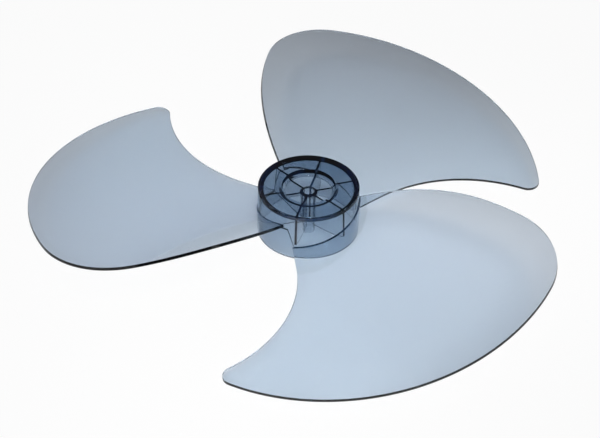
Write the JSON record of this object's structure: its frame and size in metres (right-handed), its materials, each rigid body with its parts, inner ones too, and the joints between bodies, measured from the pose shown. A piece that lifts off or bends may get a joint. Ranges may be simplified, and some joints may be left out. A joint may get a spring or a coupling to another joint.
{
  "type": "pedestal fan blade",
  "caption": "Clear blue-tinted fan blade, moulded in one piece with a round ribbed hub; slides onto a motor shaft, where a cross pin turns it.",
  "frame": {"origin": "on the hub's axis, at the rear end of the bore, level with the hub's rear rim", "axes": "+Z along the axis to the closed front, the side the air leaves; -X along one blade"},
  "size_m": [0.373, 0.3868, 0.0522],
  "materials": {
    "tinted_plastic": "gloss"
  },
  "bodies": {
    "root": {"fan_blade": "tinted_plastic"}
  },
  "joints": []
}
